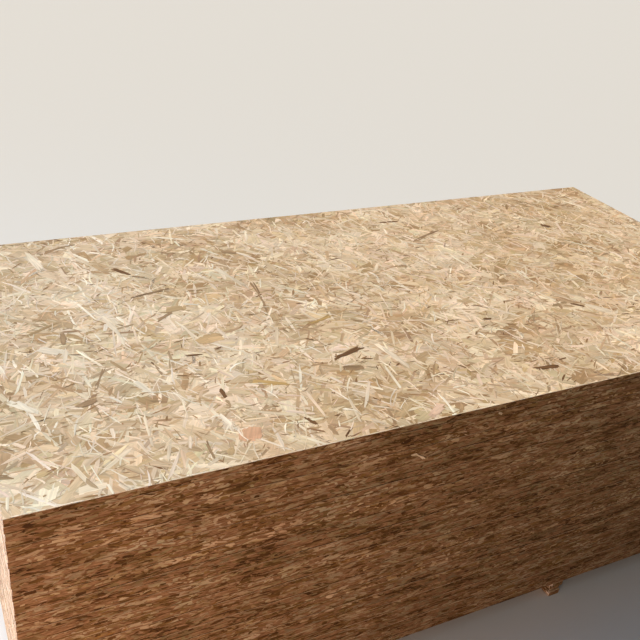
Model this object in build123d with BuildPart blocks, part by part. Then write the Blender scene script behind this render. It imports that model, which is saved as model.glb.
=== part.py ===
from build123d import *
from math import radians, sin
import os

# A pack of oriented strand board: panels laid flush on top of each other, on bearers of board strips.
# Millimetres. +X runs along the panels, +Y across them and +Z up.
# The origin is on the floor, under the middle of the pack.

# The panels
panel_length = 2440
panel_width = 1220
panel_thickness = 18
panel_count = 42

# The bearers, which run across the pack, and the strips laid on each other in each of them
bearer_count = 4
bearer_inset = 230
bearer_setback = 3
strip_width = 40
strip_thickness = 18
strips_per_bearer = 3

# The rubbed-off corners along the sawn edges
panel_arris = 0.5
strip_arris = 0.8

# How far a piece may lie off its true line, to either side
panel_end_wander = 0.8
panel_side_wander = 0.6
strip_end_wander = 4
strip_side_wander = 2

# Degrees from one piece to the next in the round of places that they wander to: this turn repeats none of them
golden_angle = 137.508
quarter_turn = 90

bearer_height = strips_per_bearer * strip_thickness
strip_length = panel_width - 2 * bearer_setback
first_bearer_x = bearer_inset - panel_length / 2
bearer_spacing = (panel_length - 2 * bearer_inset) / (bearer_count - 1)


def wander(number, reach, turn=0):
    """How far the piece of this number lies off its true line."""
    return reach * sin(radians(number * golden_angle + turn))


def finish(piece, name):
    """Name the piece and write it to its file."""
    piece.part.label = name
    export_step(piece.part, f"parts/{name}.step")


def make_panel(number):
    """One whole board, with its arrises rubbed off around its top and bottom faces."""
    centre_x = wander(number, panel_end_wander)
    centre_y = wander(number, panel_side_wander, quarter_turn)
    underside = bearer_height + (number - 1) * panel_thickness
    with BuildPart() as panel:
        with BuildSketch(Plane(origin=(centre_x, centre_y, underside))):
            Rectangle(panel_length, panel_width)
        extrude(amount=panel_thickness)
        chamfer(panel.edges().filter_by(Axis.Z, reverse=True), panel_arris)
    finish(panel, f"panel_{number:02d}")


def make_strip(bearer, layer):
    """One strip of a bearer, sawn from a board and laid across the pack."""
    number = (bearer - 1) * strips_per_bearer + layer
    centre_x = first_bearer_x + (bearer - 1) * bearer_spacing + wander(number, strip_side_wander)
    centre_y = wander(number, strip_end_wander, quarter_turn)
    underside = (layer - 1) * strip_thickness
    with BuildPart() as strip:
        with BuildSketch(Plane(origin=(centre_x, centre_y, underside))):
            Rectangle(strip_width, strip_length)
        extrude(amount=strip_thickness)
        chamfer(strip.edges().filter_by(Axis.Z, reverse=True), strip_arris)
    finish(strip, f"bearer_{bearer}_strip_{layer}")


os.makedirs("parts", exist_ok=True)

for bearer in range(1, bearer_count + 1):
    for layer in range(1, strips_per_bearer + 1):
        make_strip(bearer, layer)

for number in range(1, panel_count + 1):
    make_panel(number)
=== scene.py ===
"""A pack of oriented strand board on strip bearers: its strands, finishes, light and camera.

Metres, in the frame of the model: +X along the boards, +Y across them, +Z up, origin on the floor
under the middle of the pack. The long side that the photograph shows faces -Y.
"""

import logging
import math
from dataclasses import dataclass
from enum import Enum
from typing import TypeAlias

import bpy
import numpy as np
from mathutils import Matrix, Vector


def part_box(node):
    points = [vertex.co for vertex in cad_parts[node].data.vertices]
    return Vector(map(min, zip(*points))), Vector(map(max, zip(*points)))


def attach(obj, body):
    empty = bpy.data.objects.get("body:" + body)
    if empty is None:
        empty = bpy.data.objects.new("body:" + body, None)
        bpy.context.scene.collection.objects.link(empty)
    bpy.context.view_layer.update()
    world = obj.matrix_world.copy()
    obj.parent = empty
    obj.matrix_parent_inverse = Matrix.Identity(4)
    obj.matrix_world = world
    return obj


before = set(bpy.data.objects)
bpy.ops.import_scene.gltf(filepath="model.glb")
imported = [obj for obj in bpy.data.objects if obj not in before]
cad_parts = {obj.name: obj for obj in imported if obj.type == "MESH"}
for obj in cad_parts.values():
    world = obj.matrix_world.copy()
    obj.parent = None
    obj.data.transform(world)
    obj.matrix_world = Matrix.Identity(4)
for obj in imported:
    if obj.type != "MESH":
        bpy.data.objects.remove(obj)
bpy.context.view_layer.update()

BODY = "root"
PANEL_SLOT = "osb_panel"
STRIP_SLOT = "osb_strip"
TINT = "strand_tint"
GRAIN_MAP = "grain"
MM = 0.001

# The waves that make up the patches: their number, and how many half waves go into a patch's size
WAVES = 32
WAVE_RATES = (0.25, 2.0)

# Places that are drawn for each strand that is laid
TRIES = 2

# The scatter, in degrees, from which strands lie in any direction
ANY_WAY = 90.0

# The share of its length times its width that a strand covers
FULLNESS = 0.8

# How strongly strands lean to the short and to the narrow
LENGTH_LEAN = 1.4
WIDTH_LEAN = 1.6

# How much red, green and blue each stray in the tint of a strand
HUE_SPREAD = 0.02

# How deep a strand's lowest point is sunk in the board, in millimetres
ROOT_DEPTH = 0.5

# The size of the grain map from which each strand takes its fibres, in metres
GRAIN_REACH = 40.0

# How high the fibres and layers stand, in metres, in the bump of the finishes
RELIEF_DEPTH = 0.8 * MM

# A mark is made of this many strands, which stray from its place by these shares of its length and
# width, from its heading by about this many degrees, and from its size by these factors
MARK_PIECES = 4
MARK_SHIFT = (0.16, 0.22)
MARK_TURN = 5.0
MARK_SIZES = (0.6, 1.0)

# How much the tone of a mark's strands differs
MARK_TONES = 0.12

log = logging.getLogger("osb_pack")

Colour: TypeAlias = tuple[float, float, float]
Place: TypeAlias = tuple[float, float, float]
Stretch: TypeAlias = tuple[float, float, float]
Span: TypeAlias = tuple[float, float]


class Side(Enum):
    """A side of a board: the axes along it and across it, the axis that it faces, and which way."""

    FRONT = (0, 2, 1, -1)
    BACK = (0, 2, 1, 1)
    LEFT = (1, 2, 0, -1)
    RIGHT = (1, 2, 0, 1)
    TOP = (0, 1, 2, 1)
    UNDER = (0, 1, 2, -1)

    @property
    def along(self) -> int:
        """The axis that runs along the side."""
        return self.value[0]

    @property
    def across(self) -> int:
        """The axis that runs across the side."""
        return self.value[1]

    @property
    def outward(self) -> int:
        """The axis that the side faces along."""
        return self.value[2]

    @property
    def way(self) -> int:
        """1 or -1: which way along that axis."""
        return self.value[3]

    @property
    def keeps_turn(self) -> bool:
        """True if an outline drawn anticlockwise in along and across faces outward."""
        in_order = (self.across - self.along) % 3 == 1
        return in_order == (self.way == 1)


class Outline(Enum):
    """The plain form of a strand's outline: points from -1 to 1 along it and across it, anticlockwise."""

    BLUNT = ((-1, -0.8), (-0.35, -1), (0.4, -1), (1, -0.75), (1, 0.8), (0.3, 1), (-0.4, 1), (-1, 0.7))
    CURL = ((-1, 0), (-0.6, -0.9), (0, -1), (0.6, -0.9), (1, 0), (0.6, 0.9), (0, 1), (-0.6, 0.9))
    TORN = ((-1, -0.4), (-0.5, -1), (0.6, -0.9), (1, 0.15), (0.6, 0.95), (-0.75, 0.75))
    SLIVER = ((-1, 0), (-0.2, -1), (1, -0.2), (0.5, 1), (-0.5, 0.9))
    CHIP = ((-1, -0.3), (-0.3, -1), (0.9, -0.7), (0.8, 0.7), (-0.6, 1))
    DASH = ((-1, 0.1), (0.1, -1), (1, -0.1), (-0.1, 1))

    @property
    def points(self) -> np.ndarray:
        """The outline's points, one in each row."""
        return np.array(self.value, float)


def spread_between(span: Span, count: int, rng: np.random.Generator, lean: float) -> np.ndarray:
    """Random values between two ends.

    Args:
        span: The lowest and the highest value.
        count: How many values.
        rng: Where the random numbers come from.
        lean: Over 1 for more small values than large ones.

    Returns:
        The values.
    """
    return span[0] + (span[1] - span[0]) * rng.random(count) ** lean


def patches(places: np.ndarray, size: Span, rng: np.random.Generator) -> np.ndarray:
    """How far places lie inside dark patches: about -2 between them and 2 in their middles.

    The values are a sum of many waves that run in random directions, each the sine of a place's
    distance along it. Their half waves are from half as long as the patches to four times as long.

    Args:
        places: The places, along and across a side.
        size: The patches' size along the side and across it, in metres.
        rng: Where the random numbers come from.

    Returns:
        One value for each place, with a spread of 1.
    """
    turns = rng.uniform(0, 2 * np.pi, WAVES)
    rates = rng.uniform(*WAVE_RATES, (WAVES, 1))
    steps = np.stack([np.cos(turns), np.sin(turns)], 1) * rates * np.pi / np.array(size)
    return np.sin(places @ steps.T + rng.uniform(0, 2 * np.pi, WAVES)).sum(1) / math.sqrt(WAVES / 2)


@dataclass(frozen=True)
class Tints:
    """The colours that strands of one kind have, from dark to light, and how often each comes up.

    Spread is how much each strand's colour may differ from its kind's. Clump, from 0 to 1, is how
    much strands in one patch share their colour.
    """

    colours: tuple[Colour, ...]
    shares: tuple[float, ...]
    spread: float
    clump: float

    def pick(self, lightness: np.ndarray, rng: np.random.Generator) -> np.ndarray:
        """Give each strand a colour.

        Strands are put in order by the lightness of their patch mixed with chance, and the colours,
        from dark to light, are dealt out along that order by their shares.

        Args:
            lightness: How light the patch is that each strand lies in.
            rng: Where the random numbers come from.

        Returns:
            One linear colour in each row.
        """
        count = len(lightness)
        order = self.clump * lightness + math.sqrt(1 - self.clump**2) * rng.normal(size=count)
        rank = order.argsort().argsort() / count
        limits = np.cumsum(self.shares) / sum(self.shares)
        chosen = np.array(self.colours)[np.searchsorted(limits[:-1], rank)]
        tones = np.exp(rng.normal(0, self.spread, (count, 1)))
        return chosen * tones * np.exp(rng.normal(0, HUE_SPREAD, (count, 3)))


@dataclass(frozen=True, kw_only=True)
class StrandShape:
    """The form of a strand, and how far one strand strays from another.

    Lift is how far it stands proud of the side, and inset how far it may end before the board's
    edge, in millimetres. Bend is its bow, as a share of its length, and slope its tilt. Ragged is
    how far the points of its outline stray, as a share of half its size. Shading is how much the
    tone of its corners differs.
    """

    outline: Outline
    lift: Span
    bend: float = 0.03
    slope: float = 0.002
    ragged: float = 0.15
    inset: Span = (0.0, 0.2)
    shading: float = 0.07


@dataclass(frozen=True, kw_only=True)
class StrandKind(StrandShape):
    """One kind of strand on a side: how many lie there, how large, which way, and in which colours.

    Cover is how many times over the strands would cover the side. Length and width are in
    millimetres, and heading and scatter in degrees from the side's long way. Patch is the size of
    the darker and lighter patches, along and across, in metres, and board_spread how much the tone
    of the boards differs. Band is the part of the side's breadth in which the strands' middles lie.
    Gather, from 0 to 1, is how much they keep to the dark patches. Kinds of one pattern have their
    patches in the same places.
    """

    cover: float
    length: Span
    width: Span
    tints: Tints
    heading: float = 0.0
    scatter: float = ANY_WAY
    patch: Span = (0.3, 0.2)
    board_spread: float = 0.0
    band: Span = (0.0, 1.0)
    gather: float = 0.0
    pattern: int | None = None

    def count_for(self, area: float) -> int:
        """How many strands cover this area, in square metres, as many times over as the kind says."""
        typical = np.mean(self.length) * np.mean(self.width) * FULLNESS * MM * MM
        return int(self.cover * area / typical)


@dataclass
class Strands:
    """Strands of one kind as arrays: their points, their colours and their places on the grain map.

    Each strand has its outline's points and then one point sunk in the board under its middle.
    """

    points: np.ndarray
    tints: np.ndarray
    grain: np.ndarray
    keeps_turn: bool

    @property
    def sunk(self) -> int:
        """The number of a strand's sunk point, which is also how many points its outline has."""
        return self.points.shape[1] - 1

    @property
    def corners(self) -> np.ndarray:
        """The corners of one strand's polygons: of its face, and then of the triangles that close it below.

        Returns:
            The numbers of the strand's points, in the order in which the polygons use them.
        """
        rim = np.arange(self.sunk)
        after = (rim + 1) % self.sunk
        foot = np.full(self.sunk, self.sunk)
        if self.keeps_turn:
            return np.concatenate([rim, np.stack([after, rim, foot], 1).ravel()])
        return np.concatenate([rim[::-1], np.stack([rim, after, foot], 1).ravel()])

    @property
    def starts(self) -> np.ndarray:
        """Where each polygon of one strand starts among its corners."""
        return np.concatenate([[0], self.sunk + 3 * np.arange(self.sunk)])


@dataclass
class Lay:
    """Where the strands of one kind lie on one side: arrays with one row for each strand.

    Boards has shape (strands, 2, 3): the corners of the board that each strand is part of. Middle
    is along and across the side in metres, as are length and width. Heading is in radians.
    """

    side: Side
    boards: np.ndarray
    middle: np.ndarray
    length: np.ndarray
    width: np.ndarray
    heading: np.ndarray

    def make(self, shape: StrandShape, tints: np.ndarray, rng: np.random.Generator) -> Strands:
        """Make the strands.

        A strand's outline is a plain form stretched to its length and width, made ragged, bent into
        a bow (the offset across is 1 minus the square of the place along), turned to its heading
        and moved to its place. Where it crosses the board's edge, it is cut back to its inset from
        it. It lies proud of the side by its lift and a slight slope, and closes to a point sunk in
        the board.

        Args:
            shape: The strands' form.
            tints: Each strand's colour.
            rng: Where the random numbers come from.

        Returns:
            The strands.
        """
        side, count = self.side, len(self.middle)
        form = shape.outline.points
        ragged = form[None] + rng.uniform(-shape.ragged, shape.ragged, (count, len(form), 2))
        x = ragged[..., 0] * self.length[:, None] / 2
        bow = rng.normal(0, shape.bend, (count, 1)) * self.length[:, None]
        y = ragged[..., 1] * self.width[:, None] / 2 + bow * (1 - form[None, :, 0] ** 2)
        cos, sin = np.cos(self.heading)[:, None], np.sin(self.heading)[:, None]
        flat = np.stack([x * cos - y * sin, x * sin + y * cos], -1) + self.middle[:, None]
        axes = [side.along, side.across]
        low, high = self.boards[:, None, 0][..., axes], self.boards[:, None, 1][..., axes]
        inset = rng.uniform(*shape.inset, (count, 1, 2)) * MM
        flat = np.clip(flat, low + inset, high - inset)
        lift = rng.uniform(*shape.lift, (count, 1)) * MM
        slopes = rng.normal(0, shape.slope, (count, 1, 2))
        height = lift + ((flat - flat.mean(1, keepdims=True)) * slopes).sum(-1)
        face = self.boards[:, 1 if side.way == 1 else 0, side.outward]

        points = np.empty((count, len(form) + 1, 3))
        points[:, :-1, side.along] = flat[..., 0]
        points[:, :-1, side.across] = flat[..., 1]
        points[:, :-1, side.outward] = face[:, None] + side.way * height
        points[:, -1] = points[:, :-1].mean(1)
        points[:, -1, side.outward] = face - side.way * ROOT_DEPTH * MM

        grain = np.zeros((count, len(form) + 1, 2))
        grain[:, :-1] = np.stack([x, y], -1)
        grain += rng.uniform(0, GRAIN_REACH, (count, 1, 2))
        shades = np.exp(rng.normal(0, shape.shading, (count, len(form) + 1, 1)))
        return Strands(points, tints[:, None] * shades, grain, side.keeps_turn)


def lay_strands(
    side: Side, boards: np.ndarray, kind: StrandKind, seed: int, rng: np.random.Generator
) -> Strands:
    """Lay strands of one kind at random over one side of one or more boards.

    More places are drawn than there are strands, and those that lie best inside the dark patches
    are kept.

    Args:
        side: The side of the boards.
        boards: Each board's lowest and highest corner, shape (boards, 2, 3).
        kind: The kind of strand.
        seed: The seed of the patches' places, for kinds of one pattern.
        rng: Where the other random numbers come from.

    Returns:
        The strands.
    """
    span = boards[:, 1] - boards[:, 0]
    areas = span[:, side.along] * span[:, side.across]
    count = kind.count_for(float(areas.sum()))
    tries = TRIES * count
    board = rng.choice(len(boards), tries, p=areas / areas.sum())
    axes = [side.along, side.across]
    low, high = boards[board, 0][:, axes], boards[board, 1][:, axes]
    share = np.column_stack([rng.random(tries), rng.uniform(*kind.band, tries)])
    middle = low + (high - low) * share
    waves = rng if kind.pattern is None else np.random.default_rng((seed, kind.pattern))
    dark = patches(middle, kind.patch, waves)
    pull = kind.gather * dark + math.sqrt(1 - kind.gather**2) * rng.normal(size=tries)
    kept = np.sort(pull.argsort()[-count:])
    board, middle, dark = board[kept], middle[kept], dark[kept]
    length = spread_between(kind.length, count, rng, LENGTH_LEAN) * MM
    width = spread_between(kind.width, count, rng, WIDTH_LEAN) * MM
    if kind.scatter >= ANY_WAY:
        heading = rng.uniform(0, 180, count)
    else:
        heading = kind.heading + rng.normal(0, kind.scatter, count)
    tints = kind.tints.pick(-dark, rng)
    tints *= np.exp(rng.normal(0, kind.board_spread, (len(boards), 1)))[board]
    return Lay(side, boards[board], middle, length, width, np.radians(heading)).make(kind, tints, rng)


class MarkTint(Enum):
    """The colours of the strands that stand out."""

    BARK = (0.16, 0.08, 0.035)
    BROWN = (0.33, 0.21, 0.115)
    PINK = (0.62, 0.36, 0.215)
    ROSE = (0.66, 0.45, 0.32)
    OCHRE = (0.47, 0.30, 0.12)
    HONEY = (0.55, 0.37, 0.195)
    PALE = (0.77, 0.63, 0.46)
    WHITE = (0.82, 0.69, 0.52)


@dataclass(frozen=True)
class Mark:
    """A strand that stands out.

    On the uppermost panel, its place is measured in metres from the left end and from the front
    edge, and on the front side from the left end and from the panels' foot. Its size is in
    millimetres, and its heading in degrees from the panel's long way.
    """

    x: float
    y: float
    length: float
    width: float
    heading: float
    tint: MarkTint


# The strands that stand out in the photograph, on the uppermost panel and then on the front side
MARKS = (
    Mark(0.46, 0.95, 55, 14, 120, MarkTint.BARK),
    Mark(0.50, 0.90, 35, 9, 145, MarkTint.BROWN),
    Mark(0.51, 0.79, 100, 8, 12, MarkTint.BROWN),
    Mark(0.51, 0.65, 60, 9, 33, MarkTint.BROWN),
    Mark(0.55, 0.68, 60, 30, 0, MarkTint.HONEY),
    Mark(0.58, 0.50, 75, 36, 20, MarkTint.HONEY),
    Mark(0.54, 0.56, 130, 8, 100, MarkTint.PALE),
    Mark(0.53, 0.26, 35, 9, 90, MarkTint.BARK),
    Mark(0.80, 0.71, 180, 5, 85, MarkTint.BROWN),
    Mark(0.76, 0.82, 155, 9, 112, MarkTint.PALE),
    Mark(0.23, 0.32, 55, 15, 20, MarkTint.BROWN),
    Mark(0.20, 0.56, 65, 24, 145, MarkTint.WHITE),
    Mark(0.09, 0.35, 85, 17, 128, MarkTint.WHITE),
    Mark(0.24, 1.07, 130, 18, 100, MarkTint.PALE),
    Mark(0.31, 1.14, 105, 10, 28, MarkTint.BROWN),
    Mark(0.23, 0.61, 60, 14, 85, MarkTint.BROWN),
    Mark(0.27, 0.51, 90, 7, 113, MarkTint.PALE),
    Mark(0.52, 0.44, 40, 9, 175, MarkTint.BARK),
    Mark(0.91, 0.51, 80, 9, 22, MarkTint.OCHRE),
    Mark(0.66, 0.26, 90, 12, 155, MarkTint.OCHRE),
    Mark(0.82, 0.99, 50, 18, 150, MarkTint.BROWN),
    Mark(0.28, 0.42, 80, 4, 65, MarkTint.BROWN),
    Mark(0.36, 0.64, 120, 10, 98, MarkTint.PALE),
    Mark(0.36, 0.34, 65, 15, 115, MarkTint.WHITE),
    Mark(0.53, 0.09, 50, 42, 60, MarkTint.PINK),
    Mark(0.50, 0.15, 75, 12, 98, MarkTint.WHITE),
    Mark(0.43, 0.07, 60, 6, 87, MarkTint.BROWN),
    Mark(0.68, 0.09, 30, 10, 116, MarkTint.BARK),
    Mark(0.47, 0.05, 28, 14, 72, MarkTint.HONEY),
    Mark(1.38, 0.10, 72, 13, 175, MarkTint.BARK),
    Mark(1.38, 0.37, 26, 10, 160, MarkTint.BARK),
    Mark(0.90, 0.33, 110, 12, 14, MarkTint.BARK),
    Mark(0.88, 0.26, 60, 22, 162, MarkTint.BROWN),
    Mark(1.46, 1.08, 70, 11, 175, MarkTint.BARK),
    Mark(2.03, 0.90, 38, 15, 130, MarkTint.BARK),
    Mark(1.53, 0.94, 130, 6, 28, MarkTint.BROWN),
    Mark(1.01, 0.28, 125, 14, 100, MarkTint.PALE),
    Mark(1.31, 0.06, 55, 16, 100, MarkTint.PALE),
    Mark(1.76, 0.32, 90, 22, 122, MarkTint.PALE),
    Mark(1.71, 0.36, 38, 11, 135, MarkTint.BARK),
    Mark(1.73, 1.04, 115, 9, 100, MarkTint.PALE),
    Mark(0.98, 0.03, 55, 22, 35, MarkTint.ROSE),
)
FRONT_MARKS = (
    Mark(0.935, 0.655, 42, 3.5, 143, MarkTint.ROSE),
    Mark(0.915, 0.665, 14, 3.5, 160, MarkTint.ROSE),
    Mark(0.895, 0.665, 36, 4, 5, MarkTint.BARK),
    Mark(1.155, 0.730, 14, 6.5, 150, MarkTint.ROSE),
)
MARK_SHAPE = StrandShape(outline=Outline.BLUNT, lift=(0.42, 0.92), bend=0.02, slope=0.001, ragged=0.28)


def lay_marks(marks: tuple[Mark, ...], side: Side, board: np.ndarray, rng: np.random.Generator) -> Strands:
    """Lay the marks on a side, each as a few ragged strands that lie across each other.

    Args:
        marks: The marks.
        side: The side that they lie on.
        board: The lowest and highest corner of the board or the boards that the side belongs to.
        rng: Where the random numbers come from.

    Returns:
        The strands.
    """
    table = np.array([(m.x, m.y, m.length * MM, m.width * MM, math.radians(m.heading)) for m in marks])
    table = np.repeat(table, MARK_PIECES, 0)
    tints = np.repeat(np.array([m.tint.value for m in marks]), MARK_PIECES, 0)
    count = len(table)
    middle, length, width, heading = table[:, :2] + board[0, [side.along, side.across]], *table[:, 2:].T
    ahead = np.stack([np.cos(heading), np.sin(heading)], 1)
    aside = np.stack([-ahead[:, 1], ahead[:, 0]], 1)
    middle = middle + ahead * (length * rng.uniform(-MARK_SHIFT[0], MARK_SHIFT[0], count))[:, None]
    middle = middle + aside * (width * rng.uniform(-MARK_SHIFT[1], MARK_SHIFT[1], count))[:, None]
    heading = heading + np.radians(rng.normal(0, MARK_TURN, count))
    sizes = rng.uniform(*MARK_SIZES, (2, count))
    tints = tints * np.exp(rng.normal(0, MARK_TONES, (count, 1)))
    boards = np.repeat(board[None], count, 0)
    lay = Lay(side, boards, middle, length * sizes[0], width * sizes[1], heading)
    return lay.make(MARK_SHAPE, tints, rng)


def joined_mesh(name: str, groups: list[Strands]) -> bpy.types.Object:
    """Make one object of all the strands given: for each, its face and the sides that close it below.

    Args:
        name: The object's name.
        groups: The strands, in one group for each kind and side.

    Returns:
        The object, with the strands' colours as a colour attribute and their grain as a UV map.
    """
    vertices, corners, starts, tints, grains = [], [], [], [], []
    first_vertex = first_corner = 0
    for group in groups:
        count, size = group.points.shape[:2]
        at = np.arange(count)[:, None]
        vertices.append(group.points.reshape(-1, 3))
        corners.append((first_vertex + at * size + group.corners).ravel())
        starts.append((first_corner + at * len(group.corners) + group.starts).ravel())
        tints.append(group.tints.reshape(-1, 3))
        grains.append(group.grain[:, group.corners].reshape(-1, 2))
        first_vertex += count * size
        first_corner += count * len(group.corners)

    mesh = bpy.data.meshes.new(name)
    place, corner, start = np.concatenate(vertices), np.concatenate(corners), np.concatenate(starts)
    mesh.vertices.add(len(place))
    mesh.vertices.foreach_set("co", place.ravel())
    mesh.loops.add(len(corner))
    mesh.loops.foreach_set("vertex_index", corner)
    mesh.polygons.add(len(start))
    mesh.polygons.foreach_set("loop_start", start)
    mesh.update(calc_edges=True)
    mesh.shade_flat()
    mesh.uv_layers.new(name=GRAIN_MAP).uv.foreach_set("vector", np.concatenate(grains).ravel())
    tint = np.concatenate(tints).clip(0, 1)
    colours = mesh.color_attributes.new(TINT, "FLOAT_COLOR", "POINT")
    colours.data.foreach_set("color", np.column_stack([tint, np.ones(len(tint))]).ravel())
    mesh.validate()
    piece = bpy.data.objects.new(name, mesh)
    bpy.context.scene.collection.objects.link(piece)
    return piece


Operand: TypeAlias = "Wire | float"


class Wire:
    """A number that varies over a surface. Sums written with it add Math nodes."""

    def __init__(self, bench: "Bench", socket: bpy.types.NodeSocket) -> None:
        """Wrap an output socket of the bench's node tree."""
        self.bench = bench
        self.socket = socket

    def __add__(self, other: Operand) -> "Wire":
        """This plus the other."""
        return self.bench.sum_of("ADD", self, other)

    __radd__ = __add__

    def __sub__(self, other: Operand) -> "Wire":
        """This less the other."""
        return self.bench.sum_of("SUBTRACT", self, other)

    def __rsub__(self, other: Operand) -> "Wire":
        """The other less this."""
        return self.bench.sum_of("SUBTRACT", other, self)

    def __mul__(self, other: Operand) -> "Wire":
        """This times the other."""
        return self.bench.sum_of("MULTIPLY", self, other)

    __rmul__ = __mul__

    def __gt__(self, other: Operand) -> "Wire":
        """1 where this is more than the other, else 0."""
        return self.bench.sum_of("GREATER_THAN", self, other)

    def __abs__(self) -> "Wire":
        """This without its sign."""
        return self.bench.sum_of("ABSOLUTE", self, 0.0)

    def steeper(self, contrast: float) -> "Wire":
        """This with more contrast, around one half."""
        return self * contrast + (0.5 - contrast / 2)


class Bench:
    """Where the nodes of one material, or of the world, are put together."""

    def __init__(self, owner: bpy.types.Material | bpy.types.World) -> None:
        """Start with an empty node tree.

        Args:
            owner: The material or world that the nodes are for.
        """
        self.owner = owner
        self.owner.use_nodes = True
        self.tree = self.owner.node_tree
        self.tree.nodes.clear()

    def node(
        self, kind: str, settings: dict[str, object], inputs: dict[str | int, object]
    ) -> bpy.types.Node:
        """Add a node.

        Args:
            kind: The node's type.
            settings: Its settings by name, which are set first.
            inputs: For each of its sockets, by name or number, a value, a wire or an output socket.

        Returns:
            The node.
        """
        made = self.tree.nodes.new(kind)
        for name, value in settings.items():
            setattr(made, name, value)
        for name, value in inputs.items():
            if isinstance(value, Wire):
                self.tree.links.new(value.socket, made.inputs[name])
            elif isinstance(value, bpy.types.NodeSocket):
                self.tree.links.new(value, made.inputs[name])
            else:
                made.inputs[name].default_value = value
        return made

    def sum_of(self, operation: str, first: Operand, second: Operand) -> Wire:
        """A Math node's result for two numbers."""
        made = self.node("ShaderNodeMath", {"operation": operation}, {0: first, 1: second})
        return Wire(self, made.outputs[0])

    def place(self) -> bpy.types.NodeSocket:
        """The place on the object, in metres."""
        return self.node("ShaderNodeTexCoord", {}, {}).outputs["Object"]

    def stretched(self, source: bpy.types.NodeSocket, scale: Stretch) -> bpy.types.NodeSocket:
        """Coordinates stretched by a factor along each axis."""
        return self.node("ShaderNodeMapping", {}, {"Vector": source, "Scale": scale}).outputs["Vector"]

    def noise(self, source: bpy.types.NodeSocket, scale: float, detail: float, rough: float) -> Wire:
        """Noise from 0 to 1 at these coordinates."""
        inputs = {"Vector": source, "Scale": scale, "Detail": detail, "Roughness": rough}
        return Wire(self, self.node("ShaderNodeTexNoise", {}, inputs).outputs[0])

    def plainly_seen(self) -> Wire:
        """Tell rays that come from the camera straight, mirrored or through glass from all others.

        Returns:
            1 for those rays, else 0.
        """
        path = self.node("ShaderNodeLightPath", {}, {}).outputs
        names = ("Is Camera Ray", "Is Glossy Ray", "Is Transmission Ray")
        straight, mirrored, through = [Wire(self, path[name]) for name in names]
        return straight + mirrored + through > 0.5

    def facing(self) -> list[Wire]:
        """The X, Y and Z of the way that the surface faces."""
        normal = self.node("ShaderNodeNewGeometry", {}, {}).outputs["True Normal"]
        return [Wire(self, part) for part in self.node("ShaderNodeSeparateXYZ", {}, {0: normal}).outputs]

    def mixed(
        self, share: Operand, first: object, second: object, how: str = "MIX"
    ) -> bpy.types.NodeSocket:
        """Mix two colours.

        Args:
            share: How much of the second, from 0 to 1.
            first: A colour, or a socket that gives one.
            second: The other colour or socket.
            how: The way of mixing them.

        Returns:
            The mixed colour.
        """
        settings = {"data_type": "RGBA", "blend_type": how}
        inputs = {0: share, 6: opaque(first), 7: opaque(second)}
        return self.node("ShaderNodeMix", settings, inputs).outputs[2]

    def scaled(self, colour: bpy.types.NodeSocket, factor: Wire) -> bpy.types.NodeSocket:
        """A colour made lighter or darker by a factor."""
        made = self.node("ShaderNodeVectorMath", {"operation": "SCALE"}, {0: colour, "Scale": factor})
        return made.outputs[0]

    def bumped(self, height: Wire, strength: float) -> bpy.types.NodeSocket:
        """Normals that follow a height."""
        inputs = {"Strength": strength, "Distance": RELIEF_DEPTH, "Height": height}
        return self.node("ShaderNodeBump", {}, inputs).outputs[0]

    def surface(self, inputs: dict[str | int, object]) -> bpy.types.Material:
        """Close the material with a Principled shader.

        Args:
            inputs: The shader's inputs.

        Returns:
            The material.
        """
        shader = self.node("ShaderNodeBsdfPrincipled", {}, inputs)
        self.node("ShaderNodeOutputMaterial", {}, {"Surface": shader.outputs[0]})
        return self.owner


def opaque(colour: object) -> object:
    """A plain colour with its alpha of 1, or a socket as it is."""
    return (*colour, 1.0) if isinstance(colour, tuple) else colour


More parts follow.
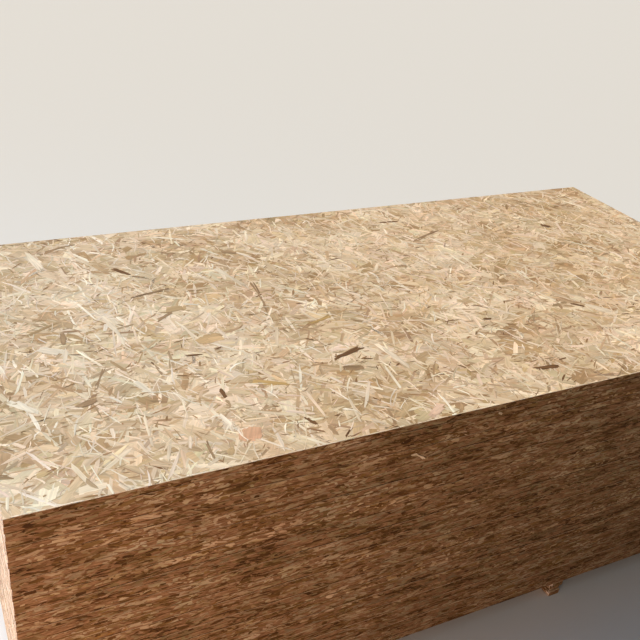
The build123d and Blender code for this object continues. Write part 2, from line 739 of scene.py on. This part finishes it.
@dataclass(frozen=True)
class StrandFinish:
    """Bare wood strands: each has its own colour, with fibres along it, and a dull wax sheen.

    The fibres' stretch and number are those of their noise. The two cloud colours are what the
    strands' colours are multiplied by in the dark and in the light clouds of the board.
    """

    name: str
    fibre_contrast: float = 0.85
    fibres_per_metre: float = 190.0
    fibre_stretch: float = 0.06
    cloud_dark: Colour = (0.90, 0.87, 0.82)
    cloud_light: Colour = (1.08, 1.09, 1.11)
    clouds_per_metre: float = 9.0
    cloud_stretch: Stretch = (0.4, 1.0, 1.0)
    cloud_detail: float = 6.0
    cloud_contrast: float = 2.5
    hue_change: float = 0.02
    hue_change_of_green: float = 0.012
    hues_per_metre: float = 11.0
    hue_contrast: float = 2.0
    roughness: float = 0.62
    roughness_change: float = 0.2
    gloss: float = 0.12
    relief: float = 0.2

    def make(self) -> bpy.types.Material:
        """Build the material.

        The colour is the strand's tint times three factors around 1: fibres, noise drawn out along
        the strand; clouds, broad noise over the whole board, from dark and strong to light and
        dull; and hue, noise that makes some places redder and others greener.

        Returns:
            The material.
        """
        bench = Bench(bpy.data.materials.new(self.name))
        tint = bench.node("ShaderNodeAttribute", {"attribute_name": TINT}, {}).outputs["Color"]
        grain = bench.node("ShaderNodeUVMap", {"uv_map": GRAIN_MAP}, {}).outputs[0]
        drawn_out = bench.stretched(grain, (self.fibre_stretch, 1.0, 1.0))
        fibres = bench.noise(drawn_out, self.fibres_per_metre, detail=3.0, rough=0.6)
        hues = bench.noise(bench.place(), self.hues_per_metre, detail=2.0, rough=0.5)
        redder = (1 + self.hue_change, 1 - self.hue_change, 1 - self.hue_change)
        greener = (1 - self.hue_change, 1 + self.hue_change_of_green, 1 + self.hue_change)
        hue = bench.mixed(hues.steeper(self.hue_contrast), greener, redder)
        broad = bench.stretched(bench.place(), self.cloud_stretch)
        clouds = bench.noise(broad, self.clouds_per_metre, self.cloud_detail, rough=0.65)
        cloud = bench.mixed(clouds.steeper(self.cloud_contrast), self.cloud_dark, self.cloud_light)
        colour = bench.mixed(1.0, bench.mixed(1.0, tint, hue, "MULTIPLY"), cloud, "MULTIPLY")
        return bench.surface(
            {
                "Base Color": bench.scaled(colour, 1 + (fibres - 0.5) * self.fibre_contrast),
                "Roughness": self.roughness + (fibres - 0.5) * self.roughness_change,
                "Normal": bench.bumped(fibres, self.relief),
                "Specular IOR Level": self.gloss,
            }
        )


@dataclass(frozen=True)
class CoreFinish:
    """The board behind the strands that stand proud: sawn wood in thin layers, and pressed faces.

    Each pair of colours is the darker and the lighter one: on the long sides, on the ends and on the faces.
    The long sides' pair is darker partly by the sawn wood's own brown and partly by painted shade, and the
    ends' pair paler partly by painted light. Square_on is how much of a surface's facing has to be along an
    axis for it to be an end or a face.
    """

    name: str
    # The long sides' pair is darkened partly with painted shade, and the ends' pair paled partly with painted
    # light
    sides: tuple[Colour, Colour] = ((0.10, 0.037, 0.009), (0.30, 0.16, 0.075))
    ends: tuple[Colour, Colour] = ((0.58, 0.43, 0.32), (0.76, 0.60, 0.47))
    faces: tuple[Colour, Colour] = ((0.42, 0.28, 0.16), (0.62, 0.46, 0.30))
    layers_per_metre: float = 330.0
    layer_stretch: Stretch = (0.14, 0.14, 1.0)
    layer_contrast: float = 3.0
    square_on: float = 0.6
    roughness: float = 0.8
    gloss: float = 0.2
    relief: float = 0.4

    def make(self) -> bpy.types.Material:
        """Build the material: for each way that the board faces, two colours mixed in thin layers.

        The layers are noise drawn out along the board.

        Returns:
            The material.
        """
        bench = Bench(bpy.data.materials.new(self.name))
        drawn_out = bench.stretched(bench.place(), self.layer_stretch)
        layers = bench.noise(drawn_out, self.layers_per_metre, detail=3.0, rough=0.6)
        share = layers.steeper(self.layer_contrast)
        along, _, up = bench.facing()
        colour = bench.mixed(share, *self.sides)
        colour = bench.mixed(abs(along) > self.square_on, colour, bench.mixed(share, *self.ends))
        colour = bench.mixed(abs(up) > self.square_on, colour, bench.mixed(share, *self.faces))
        return bench.surface(
            {
                "Base Color": colour,
                "Roughness": self.roughness,
                "Normal": bench.bumped(layers, self.relief),
                "Specular IOR Level": self.gloss,
            }
        )


# The boards' own wood, and the strands of the faces, of the long sides, which are dark partly with painted
# shade, and of the ends, which are pale partly with painted light
CORE = CoreFinish("board_core")
FACE = StrandFinish("face_strands")
SAWN = StrandFinish(
    "sawn_strands",
    fibre_contrast=0.10,
    fibres_per_metre=420.0,
    fibre_stretch=0.14,
    cloud_dark=(0.39, 0.38, 0.196),
    cloud_light=(1.35, 1.65, 1.72),
    clouds_per_metre=12.0,
    cloud_stretch=(0.3, 0.3, 1.0),
    cloud_detail=5.0,
    hue_change=0.04,
    hue_change_of_green=0.024,
    roughness=0.8,
)
ENDS = StrandFinish(
    "end_strands",
    fibre_contrast=0.2,
    fibres_per_metre=420.0,
    fibre_stretch=0.14,
    cloud_dark=(0.94, 0.92, 0.90),
    cloud_light=(1.05, 1.05, 1.05),
    clouds_per_metre=14.0,
    cloud_stretch=(0.3, 0.3, 1.0),
    roughness=0.8,
)

# The faces' strands: flakes, narrow strands, pale strands, which are partly painted highlights, and dark
# slivers, which are partly painted shadow
TOP_WIDE = Tints(
    (
        (0.425, 0.272, 0.137),
        (0.545, 0.375, 0.212),
        (0.63, 0.46, 0.286),
        (0.70, 0.527, 0.345),
        (0.785, 0.615, 0.432),
    ),
    shares=(1.6, 3, 4.6, 4, 2.6),
    spread=0.09,
    clump=0.5,
)
TOP_NARROW = Tints(
    ((0.44, 0.283, 0.158), (0.55, 0.377, 0.22), (0.67, 0.49, 0.31), (0.79, 0.615, 0.43)),
    shares=(1.2, 3, 4, 3),
    spread=0.12,
    clump=0.5,
)
# Pale strands: partly the wood's own pale strands, partly painted highlights on fibres that lie across the
# light
TOP_PALE_AND_HIGHLIGHT = Tints(
    ((0.74, 0.58, 0.405), (0.81, 0.66, 0.485), (0.87, 0.74, 0.57)),
    shares=(4, 4, 1.5),
    spread=0.06,
    clump=0.3,
)
# Dark slivers: partly bark, partly painted shadow in the gaps between flakes
TOP_DARK_AND_SHADOW = Tints(
    ((0.16, 0.08, 0.034), (0.31, 0.175, 0.082), (0.43, 0.27, 0.142)),
    shares=(0.8, 3, 6),
    spread=0.12,
    clump=0.4,
)

# The long sides' strands: the mass of them, the dark ones and the pale ones. They are darker and browner than
# the same sawn wood on the ends: partly the long sides' own brown, partly painted shade.
SAWN_LONG_SHADED = Tints(
    ((0.190, 0.090, 0.036), (0.288, 0.157, 0.078), (0.335, 0.193, 0.109), (0.350, 0.209, 0.124)),
    shares=(2.4, 4, 4.5, 2.1),
    spread=0.035,
    clump=0.75,
)
SAWN_LONG_DARK_SHADED = Tints(
    ((0.085, 0.030, 0.007), (0.13, 0.053, 0.014), (0.185, 0.083, 0.027)),
    shares=(3, 4, 3),
    spread=0.10,
    clump=0.3,
)
SAWN_LONG_PALE_SHADED = Tints(((0.36, 0.22, 0.135), (0.41, 0.265, 0.165)), shares=(4, 1), spread=0.08, clump=0.3)

# The ends' strands, in the same order. They are paler than the same sawn wood on the long sides: partly the
# ends' own tone, partly painted light.
SAWN_END_LIT = Tints(
    ((0.64, 0.485, 0.375), (0.69, 0.53, 0.415), (0.73, 0.57, 0.45), (0.78, 0.615, 0.49)),
    shares=(2.2, 4, 4, 2.2),
    spread=0.04,
    clump=0.4,
)
SAWN_END_DARK_LIT = Tints(((0.42, 0.30, 0.215), (0.55, 0.41, 0.31)), shares=(2, 4), spread=0.08, clump=0.3)
SAWN_END_PALE_LIT = Tints(((0.80, 0.65, 0.53), (0.84, 0.70, 0.58)), shares=(4, 2), spread=0.04, clump=0.3)

# The top face: broad flakes, and on them narrow strands; pale strands and curls that lie across the board,
# pale partly as painted highlights where fibres across the light catch it; dark slivers, partly bark and
# partly painted shadow in the gaps between flakes; and pale splinters along the front edge
TOP_FLAKES = (
    StrandKind(
        outline=Outline.BLUNT, cover=5.0, length=(45, 135), width=(10, 44), lift=(0.05, 0.35), tints=TOP_WIDE,
        scatter=55, bend=0.01, ragged=0.18,
    ),
)
TOP_FINE = (
    StrandKind(
        outline=Outline.TORN, cover=0.9, length=(35, 120), width=(3.5, 13), lift=(0.20, 0.50),
        tints=TOP_NARROW, scatter=60, slope=0.003, ragged=0.25,
    ),
    # Pale strands and curls across the board: partly painted highlights, where raised fibres across the light
    # from the left would catch it
    StrandKind(
        outline=Outline.TORN, cover=0.13, length=(40, 140), width=(4.0, 11), lift=(0.40, 0.65),
        tints=TOP_PALE_AND_HIGHLIGHT, heading=105, scatter=30, slope=0.003, ragged=0.25,
    ),
    StrandKind(
        outline=Outline.CURL, cover=0.09, length=(20, 80), width=(1.8, 5.0), lift=(0.45, 0.80),
        tints=TOP_PALE_AND_HIGHLIGHT, heading=105, scatter=40, bend=0.10, slope=0.004, ragged=0.2,
    ),
    # Dark slivers: partly bark, partly painted shadow in the gaps between flakes
    StrandKind(
        outline=Outline.SLIVER, cover=0.075, length=(7, 44), width=(1.8, 6.0), lift=(0.40, 0.70),
        tints=TOP_DARK_AND_SHADOW, scatter=38, bend=0.06, slope=0.004, ragged=0.3,
    ),
    StrandKind(
        outline=Outline.SLIVER, cover=0.006, length=(15, 70), width=(2.0, 4.0), lift=(0.5, 0.8),
        tints=TOP_PALE_AND_HIGHLIGHT, scatter=2, bend=0.01, slope=0, ragged=0.3, band=(0.0, 0.002),
    ),
)

# The underside, which is pressed flat
UNDER_FLAKES = (
    StrandKind(
        outline=Outline.BLUNT, cover=2.0, length=(45, 135), width=(10, 44), lift=(0.0, 0.2), tints=TOP_WIDE,
        scatter=55, bend=0.01, slope=0, ragged=0.18,
    ),
)


def sawn_kinds(mid: Tints, dark: Tints, pale: Tints, lift: float, cover: float) -> tuple[StrandKind, ...]:
    """The kinds of strand on a sawn side: the mass of them, darker and paler ones, and those at the joints.

    Args:
        mid: The colours of the mass of them.
        dark: The colours of the darker ones, which also line the joints.
        pale: The colours of the paler ones.
        lift: How far they stand proud, in millimetres.
        cover: How closely they lie, against the long sides.

    Returns:
        The kinds.
    """
    low, middle, high = (0.1 * lift, 0.5 * lift), (0.35 * lift, 0.6 * lift), (0.5 * lift, lift)
    edge = {"inset": (0.0, 0.45), "patch": (0.095, 0.016), "board_spread": 0.125, "pattern": 1}
    return (
        StrandKind(
            outline=Outline.CHIP, cover=0.8 * cover, length=(9, 36), width=(3.5, 9.5), lift=low, tints=mid,
            scatter=16, slope=0.001, ragged=0.3, shading=0.06, **edge,
        ),
        StrandKind(
            outline=Outline.CHIP, cover=0.21 * cover, length=(12, 42), width=(4.0, 10.5), lift=middle,
            tints=dark, scatter=9, slope=0.001, ragged=0.3, shading=0.10, gather=0.9, **edge,
        ),
        StrandKind(
            outline=Outline.DASH, cover=0.27 * cover, length=(7, 34), width=(2.0, 6.0), lift=high,
            tints=dark, scatter=12, bend=0.04, slope=0.001, ragged=0.35, shading=0.08, gather=0.75, **edge,
        ),
        StrandKind(
            outline=Outline.DASH, cover=0.010 * cover, length=(5, 22), width=(1.2, 3.0), lift=high,
            tints=pale, scatter=25, bend=0.05, slope=0.001, ragged=0.3, **edge,
        ),
        StrandKind(
            outline=Outline.DASH, cover=0.26 * cover, length=(25, 150), width=(1.8, 4.2), lift=high,
            tints=dark, scatter=1, bend=0.003, slope=0, ragged=0.3, band=(0.0, 0.10), gather=0.7,
            patch=(0.35, 0.04), board_spread=0.12,
        ),
    )


# The long sides' strands carry painted shade as well as their own brown
SAWN_LONG_SHADED_KINDS = sawn_kinds(SAWN_LONG_SHADED, SAWN_LONG_DARK_SHADED, SAWN_LONG_PALE_SHADED, lift=0.6, cover=1.0)
# The ends' strands carry painted light as well as their own pale tone
SAWN_END_LIT_KINDS = sawn_kinds(SAWN_END_LIT, SAWN_END_DARK_LIT, SAWN_END_PALE_LIT, lift=0.3, cover=0.85)


@dataclass
class Boards:
    """A set of boards that are finished alike, by their nodes' names."""

    nodes: list[str]
    slot: str

    def boxes(self) -> np.ndarray:
        """Each board's lowest and highest corner, shape (boards, 2, 3)."""
        return np.array([[tuple(corner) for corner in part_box(name)] for name in self.nodes])

    def wear(self, material: bpy.types.Material) -> None:
        """Give each board's own solid a material.

        Args:
            material: The material.
        """
        for name in self.nodes:
            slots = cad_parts[name].data.materials
            slots.clear()
            slots.append(material)

    def coat(
        self,
        name: str,
        sides: dict[Side, tuple[StrandKind, ...]],
        material: bpy.types.Material,
        seed: int,
        marks: dict[Side, tuple[Mark, ...]] | None = None,
    ) -> None:
        """Lay strands on sides of the boards, as one piece, and report it.

        Args:
            name: The piece's name.
            sides: The kinds of strand for each side.
            material: The strands' material.
            seed: The seed of the piece's random numbers.
            marks: Strands that stand out, for the sides that have any.
        """
        rng = np.random.default_rng(seed)
        boxes = self.boxes()
        kinds = [(side, kind) for side, found in sides.items() for kind in found]
        groups = [lay_strands(side, boxes, kind, seed, rng) for side, kind in kinds]
        hull = np.array([boxes[:, 0].min(0), boxes[:, 1].max(0)])
        groups += [lay_marks(found, side, hull, rng) for side, found in (marks or {}).items()]
        piece = joined_mesh(name, groups)
        piece.data.materials.append(material)
        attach(piece, BODY)
        strands = sum(len(group.points) for group in groups)
        triangles = sum(len(polygon.vertices) - 2 for polygon in piece.data.polygons)
        log.info("%s: %d strands, %d triangles", name, strands, triangles)


class LampKind(Enum):
    """The kinds of lamp: a far one that shines one way, and a glowing sheet."""

    SUN = "SUN"
    SHEET = "AREA"


@dataclass(frozen=True)
class Lamp:
    """A lamp that faces a place.

    Strength is in watts a square metre for a sun and in watts for a sheet. Spread, in degrees, is
    how wide a sun is in the sky, or how far a sheet's light fans out. Size, a sheet's width and
    height, is in metres, like the places.
    """

    name: str
    kind: LampKind
    strength: float
    colour: Colour
    place: Place
    aim: Place
    spread: float
    size: Span = (0.0, 0.0)

    def hang(self) -> None:
        """Hang the lamp at its place, turned to its aim and out of the camera's sight."""
        light = bpy.data.lights.new(self.name, self.kind.value)
        light.energy = self.strength
        light.color = self.colour
        if self.kind is LampKind.SUN:
            light.angle = math.radians(self.spread)
        else:
            light.shape = "RECTANGLE"
            light.size, light.size_y = self.size
            light.spread = math.radians(self.spread)
        holder = bpy.data.objects.new(self.name, light)
        holder.location = self.place
        holder.rotation_euler = (Vector(self.aim) - Vector(self.place)).to_track_quat("-Z", "Y").to_euler()
        holder.visible_camera = False
        bpy.context.scene.collection.objects.link(holder)


# The key light comes from the left and a little behind, and the side light is low over the left end
KEY = Lamp(
    "key",
    LampKind.SUN,
    strength=4.33,
    colour=(1.0, 0.915, 0.81),
    place=(-0.66, 0.42, 0.62),
    aim=(0.0, 0.0, 0.0),
    spread=16.0,
)
SIDE_LIGHT = Lamp(
    "side",
    LampKind.SUN,
    strength=1.45,
    colour=(0.10, 0.54, 1.0),
    place=(-0.98, 0.10, 0.06),
    aim=(0.0, 0.0, 0.0),
    spread=16.0,
)

# The glow warms the left part of the front, and the window cools the left part of the top
GLOW = Lamp(
    "glow",
    LampKind.SHEET,
    strength=15.8,
    colour=(1.0, 0.67, 0.51),
    place=(-2.35, -2.05, 0.45),
    aim=(-1.05, -0.6, 0.35),
    spread=100.0,
    size=(1.4, 0.7),
)
WINDOW = Lamp(
    "window",
    LampKind.SHEET,
    strength=20.0,
    colour=(0.14, 0.51, 1.0),
    place=(-2.2, 0.2, 2.4),
    aim=(-1.0, 0.0, 0.8),
    spread=180.0,
    size=(1.6, 1.6),
)


@dataclass
class Studio:
    """The pale floor, the soft light and the camera of the photograph.

    Floor_bounce and sky_light are the colours that light the pack, and floor_colour and backdrop
    those that are seen. The camera's roll is in degrees, and its lens in millimetres.
    """

    floor_reach: float = 40.0
    floor_sides: int = 96
    floor_colour: Colour = (0.74, 0.735, 0.725)
    floor_bounce: Colour = (0.36, 0.36, 0.34)
    floor_roughness: float = 0.9
    sky_light: Colour = (0.149, 0.155, 0.149)
    backdrop: Colour = (0.755, 0.725, 0.69)
    lamps: tuple[Lamp, ...] = (KEY, SIDE_LIGHT, GLOW, WINDOW)
    camera_place: Place = (-1.296, -1.884, 1.9439)
    camera_aim: Place = (-0.3131, -0.1007, 0.81)
    camera_roll: float = 5.856
    camera_lens: float = 47.23

    def lay_floor(self) -> None:
        """Make the floor: a round sheet under the pack, pale to see but throwing back little light.

        The points of its rim are the cosine and the sine of evenly spaced turns, times its reach.
        """
        turns = np.linspace(0, 2 * np.pi, self.floor_sides, endpoint=False)
        rim = np.column_stack([np.cos(turns), np.sin(turns), np.zeros(len(turns))]) * self.floor_reach
        mesh = bpy.data.meshes.new("floor")
        mesh.from_pydata(rim.tolist(), [], [list(range(len(rim)))])
        bench = Bench(bpy.data.materials.new("floor_paint"))
        paint = bench.mixed(bench.plainly_seen(), self.floor_bounce, self.floor_colour)
        mesh.materials.append(bench.surface({"Base Color": paint, "Roughness": self.floor_roughness}))
        floor = bpy.data.objects.new("floor", mesh)
        bpy.context.scene.collection.objects.link(floor)

    def light(self) -> None:
        """Hang the lamps and make the sky, which is even and dim, and paler where it is seen."""
        for lamp in self.lamps:
            lamp.hang()
        bench = Bench(bpy.data.worlds.new("studio"))
        bpy.context.scene.world = bench.owner
        colour = bench.mixed(bench.plainly_seen(), self.sky_light, self.backdrop)
        sky = bench.node("ShaderNodeBackground", {}, {"Color": colour, "Strength": 1.0})
        bench.node("ShaderNodeOutputWorld", {}, {"Surface": sky.outputs[0]})

    def set_camera(self) -> None:
        """Stand the camera where the photograph was taken from, with its aim, lens and slight roll."""
        ahead = (Vector(self.camera_aim) - Vector(self.camera_place)).normalized()
        level = ahead.cross(Vector((0, 0, 1))).normalized()
        upright = level.cross(ahead)
        roll = math.radians(self.camera_roll)
        right = level * math.cos(roll) + upright * math.sin(roll)
        up = right.cross(ahead)
        turn = Matrix((right, up, -ahead)).transposed().to_4x4()
        lens = bpy.data.cameras.new("camera")
        lens.lens = self.camera_lens
        camera = bpy.data.objects.new("camera", lens)
        camera.matrix_world = Matrix.Translation(self.camera_place) @ turn
        bpy.context.scene.collection.objects.link(camera)
        bpy.context.scene.camera = camera

    def build(self) -> None:
        """Set up floor, light, camera and the plain view of colours."""
        self.lay_floor()
        self.light()
        self.set_camera()
        bpy.context.scene.view_settings.view_transform = "Standard"


@dataclass
class Pack:
    """The whole pack: the panels, lowest first, and the bearers' strips."""

    panels: Boards
    strips: Boards

    def build(self) -> None:
        """Dress the boards and lay their strands."""
        core, face, sawn, ends = CORE.make(), FACE.make(), SAWN.make(), ENDS.make()
        self.panels.wear(core)
        self.strips.wear(core)
        top = Boards(self.panels.nodes[-1:], PANEL_SLOT)
        top.coat("top_wide_strands", {Side.TOP: TOP_FLAKES}, face, seed=11)
        top.coat("top_fine_strands", {Side.TOP: TOP_FINE}, face, seed=12, marks={Side.TOP: MARKS})
        bottom = Boards(self.panels.nodes[:1], PANEL_SLOT)
        bottom.coat("underside_strands", {Side.UNDER: UNDER_FLAKES}, face, seed=13)
        front, back = {Side.FRONT: SAWN_LONG_SHADED_KINDS}, {Side.BACK: SAWN_LONG_SHADED_KINDS}
        self.panels.coat("front_edge_strands", front, sawn, seed=21, marks={Side.FRONT: FRONT_MARKS})
        self.panels.coat("back_edge_strands", back, sawn, seed=22)
        self.panels.coat("left_end_strands", {Side.LEFT: SAWN_END_LIT_KINDS}, ends, seed=23)
        self.panels.coat("right_end_strands", {Side.RIGHT: SAWN_END_LIT_KINDS}, ends, seed=25)
        # The bearers' strips take the long sides' strands on all four sides, with their painted shade
        around = dict.fromkeys((Side.FRONT, Side.BACK, Side.LEFT, Side.RIGHT), SAWN_LONG_SHADED_KINDS)
        self.strips.coat("bearer_edge_strands", around, sawn, seed=24)


def main() -> None:
    """Build the studio and the pack, each piece of which is reported as it is made."""
    logging.basicConfig(level=logging.INFO, format="%(name)s: %(message)s")
    Studio().build()
    names = sorted(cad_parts)
    panels = Boards([name for name in names if name.startswith("panel_")], PANEL_SLOT)
    strips = Boards([name for name in names if name.startswith("bearer_")], STRIP_SLOT)
    Pack(panels, strips).build()


if __name__ == "__main__":
    main()
